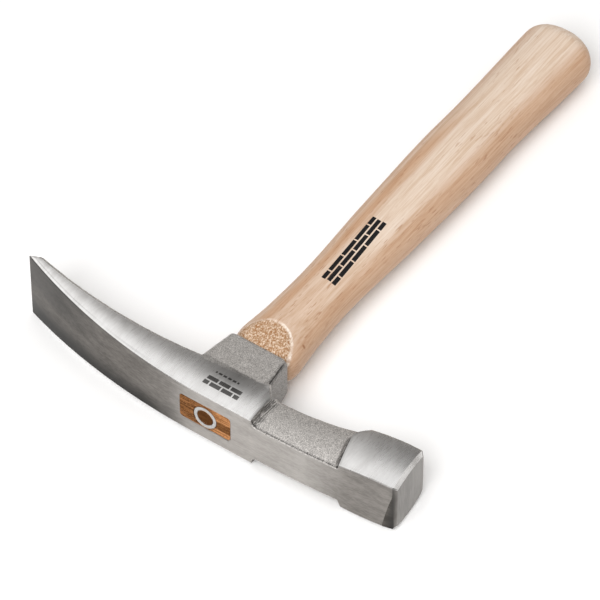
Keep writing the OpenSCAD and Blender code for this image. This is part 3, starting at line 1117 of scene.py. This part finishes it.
def grip_ring(y):
    ring = []
    for i in range(HANDLE_SIDES):
        angle = 2 * math.pi * i / HANDLE_SIDES
        r = handle_half(y)
        x, z = superellipse(angle, r, r * HANDLE_FLATNESS, HANDLE_POWER)
        z = math.copysign(min(abs(z), flat_at(y) - 0.1), z)
        torn = 0.16 * wobble(x, y, z, 0.9, 5.0) + 0.1 * wobble(x, y, z, 2.2, 9.0) - 0.15
        push = 0.08 * wobble(x, y * 0.35, z, 9.0, 2.0) + torn * sawn_share(x, y, z)
        reach = max(math.hypot(x, z), 0.1)
        ring.append((x * (1 + push / reach) + handle_offset(y), y, z * (1 + push / reach)))
    return ring


def eye_growth(y):
    """How much larger the eye is at depth y than at the top face, on each side."""
    if y < EYE_WAIST:
        return mix(0, -EYE_DRAFT, y / EYE_WAIST)
    return mix(-EYE_DRAFT, EYE_FLARE - EYE_DRAFT, (y - EYE_WAIST) / (SOCKET_END - EYE_WAIST))


def tenon_ring(y, inset=0.0):
    grow = eye_growth(y) - inset
    corner_steps = 6
    side_steps = HANDLE_SIDES // 4 - corner_steps
    outline = eye_outline(grow, corner_steps, side_steps)
    middle = side_steps // 2
    return [(x, y, z) for x, z in outline[-middle:] + outline[:-middle]]


def build_handle():
    rows = [tenon_ring(TOP_RECESS, 0.05), tenon_ring(TOP_RECESS + 0.1, TENON_GAP)]
    rows += [tenon_ring(y, TENON_GAP) for y in (EYE_WAIST, SOCKET_END - 0.05)]
    rows += [grip_ring(SOCKET_END + SHOULDER_ROUND * turned_in(a)) for a in range(0, 91, 10)]
    rows += [grip_ring(y) for y in spread(SOCKET_END + SHOULDER_ROUND, FINE_ROWS_END, 44)[1:]]
    rows += [grip_ring(y) for y in spread(FINE_ROWS_END, HANDLE_END - BUTT_ROUND, 90)[1:]]
    rows += [grip_ring(HANDLE_END - BUTT_ROUND * still_left(a)) for a in range(6, 90, 6)]
    rows.append(grip_ring(HANDLE_END - 0.06))
    bm = loft(rows)
    for face in bm.faces:
        face.material_index = int(face.calc_center_median().y < (SOCKET_END - 1) * MM)
    return bm


def build_wedge(grow=0.0, above=0.0):
    """The wooden wedge as a closed solid. The cutter for its kerf is a little larger and starts higher."""
    tip_y = wedge_high.y + grow
    rows = []
    for y in [TOP_RECESS - above] + spread(TOP_RECESS, tip_y, 12)[1:]:
        share = (y - TOP_RECESS) / (tip_y - TOP_RECESS)
        half_z = mix(WEDGE_HALF, WEDGE_TIP_HALF, share) + grow
        half_x = EYE_HALF_X + mix(0, -EYE_DRAFT, y / EYE_WAIST) - WEDGE_END_GAP + grow * 20
        outline = rounded_rectangle(-half_x, half_x, half_z, min(0.3, half_z * 0.6), 3, 20)
        rows.append([(x, y, z + WEDGE_CENTRE) for x, z in outline])
    bm = loft(rows)
    return bm


def build_ring(outer_grow=0.0, above=0.0):
    """The ring wedge: a tube with rounded rims that narrows to an edge. The cutter for its seat is wider
    outside and starts higher."""
    top, end = ring_low.y - above, ring_high.y
    profile = [(RING_INNER, top + RING_RIM)]
    for a in (30, 60, 90):
        profile.append((RING_INNER + RING_RIM * turned_in(a), top + RING_RIM * still_left(a)))
    for a in (0, 30, 60, 90):
        profile.append((RING_OUTER - RING_RIM * still_left(a), top + RING_RIM * turned_in(a)))
    profile.append((RING_OUTER - RING_TAPER, end - RING_EDGE))
    profile += [(RING_INNER + 0.5, end - 0.1), (RING_INNER + 0.2, end), (RING_INNER, end - 0.2)]
    profile = [(r + outer_grow if r > RING_INNER + 0.6 else r, y) for r, y in profile]
    rows = []
    for i in range(RING_SIDES):
        a = 2 * math.pi * i / RING_SIDES
        rows.append([(r * math.cos(a), y, r * math.sin(a) + RING_CENTRE) for r, y in profile])
    bm = loft(rows + [rows[0]], close_ends=False)
    return bm


handle = finish_bmesh(build_handle(), "wooden_handle", [handle_wood, end_wood])
boolean(handle, finish_bmesh(build_wedge(KERF_GAP, CUT_ABOVE), "kerf", [handle_wood]), "DIFFERENCE")
boolean(handle, finish_bmesh(build_ring(RING_GAP, CUT_ABOVE), "ring_seat", [handle_wood]), "DIFFERENCE")
shade(handle, 35)


def handle_tan_and_shade(x, y, z):
    """How deep a tan the wood is, with painted shade on the grip's sides: palest along the middle of the
    grip, with one darker streak beside it.
    """
    if y < SOCKET_END:
        return 0.0
    across = (x - handle_offset(y)) / outline_half(y)
    # Painted shade on the grip's sides
    sides = SIDE_SHADE * smooth((abs(across) - SIDE_SHADE_FROM) / SIDE_SHADE_FADE)
    streak = STREAK_TAN * smooth(1 - abs(across - STREAK_ACROSS) / STREAK_WIDTH)
    streak *= smooth((STREAK_END - y) / STREAK_FADE)
    by_head = HEAD_TAN * smooth((HEAD_TAN_END - y) / HEAD_TAN_FADE)
    return max(sides, streak, by_head, LEAST_TAN)


paint(handle, "sawn", sawn_share)
paint(handle, "tan", handle_tan_and_shade)
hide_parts("handle")
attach(handle, "root")

wedge = finish_bmesh(build_wedge(), "driven_wedge", [dark_wood])
boolean(wedge, finish_bmesh(build_ring(RING_GAP, CUT_ABOVE), "ring_seat", [dark_wood]), "DIFFERENCE")
shade(wedge, 35)
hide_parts("wooden_wedge")
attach(wedge, "root")

ring = finish_bmesh(build_ring(), "ring_tube", [ring_steel])
shade(ring, 40)
for look in ("scale_and_shade", "painted_dark_reflection", "shade"):
    paint(ring, look, lambda x, y, z: 0.0)
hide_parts("ring_wedge")
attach(ring, "root")

# ======== Floor, light and camera ========

AZIMUTH = math.radians(35.39)
ELEVATION = math.radians(47.22)
DISTANCE = 1.9944
AIM_RIGHT = 0.04003
AIM_UP = 0.04923
LENS = 285.25


def resting_plane():
    """Three points of the object that a flat floor under it touches, and the floor's upward normal."""
    points = [o.matrix_world @ v.co for o in (head, handle) for v in o.data.vertices]
    groups = [
        [p for p in points if p.x < -90 * MM],
        [p for p in points if p.x > 60 * MM],
        [p for p in points if p.y > 200 * MM],
    ]
    normal = Vector((0, 0, 1))
    for _ in range(6):
        touch = [min(group, key=lambda p: p.dot(normal)) for group in groups]
        normal = (touch[1] - touch[0]).cross(touch[2] - touch[0]).normalized()
    return sum(touch, Vector()) / 3, normal


def build_floor():
    centre, normal = resting_plane()
    bm = bmesh.new()
    bmesh.ops.create_grid(bm, x_segments=8, y_segments=8, size=6.0)
    mesh = bpy.data.meshes.new("floor")
    bm.to_mesh(mesh)
    bm.free()
    floor = bpy.data.objects.new("floor", mesh)
    bpy.context.scene.collection.objects.link(floor)
    floor.matrix_world = Matrix.Translation(centre) @ normal.to_track_quat("Z", "Y").to_matrix().to_4x4()
    n = Nodes("floor_paper")
    tone = n.noise((0.004, 0.004, 0.004), detail=2.0)
    colour = n.ramp(tone, [(0.0, (0.955, 0.955, 0.955)), (1.0, (0.975, 0.975, 0.975))])
    mesh.materials.append(n.set(Base_Color=colour, Roughness=0.9))
    n.shader.inputs["Specular IOR Level"].default_value = 0.1


def area_light(name, place, target, size, power):
    data = bpy.data.lights.new(name, "AREA")
    data.shape = "RECTANGLE"
    data.size, data.size_y = size
    data.energy = power
    light = bpy.data.objects.new(name, data)
    light.location = place
    light.rotation_euler = (Vector(target) - Vector(place)).to_track_quat("-Z", "Y").to_euler()
    bpy.context.scene.collection.objects.link(light)


def build_world():
    """Studio surroundings: dim at the horizon, and brighter overhead."""
    world = bpy.data.worlds.new("studio")
    world.use_nodes = True
    bpy.context.scene.world = world
    tree = world.node_tree
    background = tree.nodes["Background"]
    place = tree.nodes.new("ShaderNodeTexCoord")
    split = tree.nodes.new("ShaderNodeSeparateXYZ")
    ramp = tree.nodes.new("ShaderNodeValToRGB")
    tree.links.new(place.outputs["Generated"], split.inputs[0])
    tree.links.new(split.outputs["Z"], ramp.inputs[0])
    tree.links.new(ramp.outputs[0], background.inputs["Color"])
    stops = [(0.0, 0.25), (0.46, 0.28), (0.66, 0.38), (0.79, 0.66), (0.89, 1.20), (1.0, 1.35)]
    while len(ramp.color_ramp.elements) < len(stops):
        ramp.color_ramp.elements.new(0.5)
    for element, (position, value) in zip(ramp.color_ramp.elements, stops):
        element.position = position
        element.color = (*grey(value, 0.08 * (1 - position)), 1)
    background.inputs["Strength"].default_value = 1.0


def build_camera():
    a, e = AZIMUTH, ELEVATION
    right = Vector((math.cos(a), math.sin(a), 0))
    back = Vector((math.sin(a) * math.cos(e), -math.cos(a) * math.cos(e), math.sin(e)))
    up = back.cross(right)
    data = bpy.data.cameras.new("camera")
    data.lens = LENS
    data.sensor_width = 36
    data.clip_start = 0.05
    data.clip_end = 50
    camera = bpy.data.objects.new("camera", data)
    bpy.context.scene.collection.objects.link(camera)
    turn = Matrix((right, up, back)).transposed().to_4x4()
    camera.matrix_world = Matrix.Translation(right * AIM_RIGHT + up * AIM_UP + back * DISTANCE) @ turn
    bpy.context.scene.camera = camera


build_floor()
build_world()
area_light("front", (0.35, -1.3, 1.5), (0, 0.1, 0), (1.2, 1.2), 33)
area_light("side", (1.5, 1.1, 0.8), (0, 0.1, 0), (1.0, 1.0), 1.8)
build_camera()
bpy.context.scene.view_settings.view_transform = "Standard"
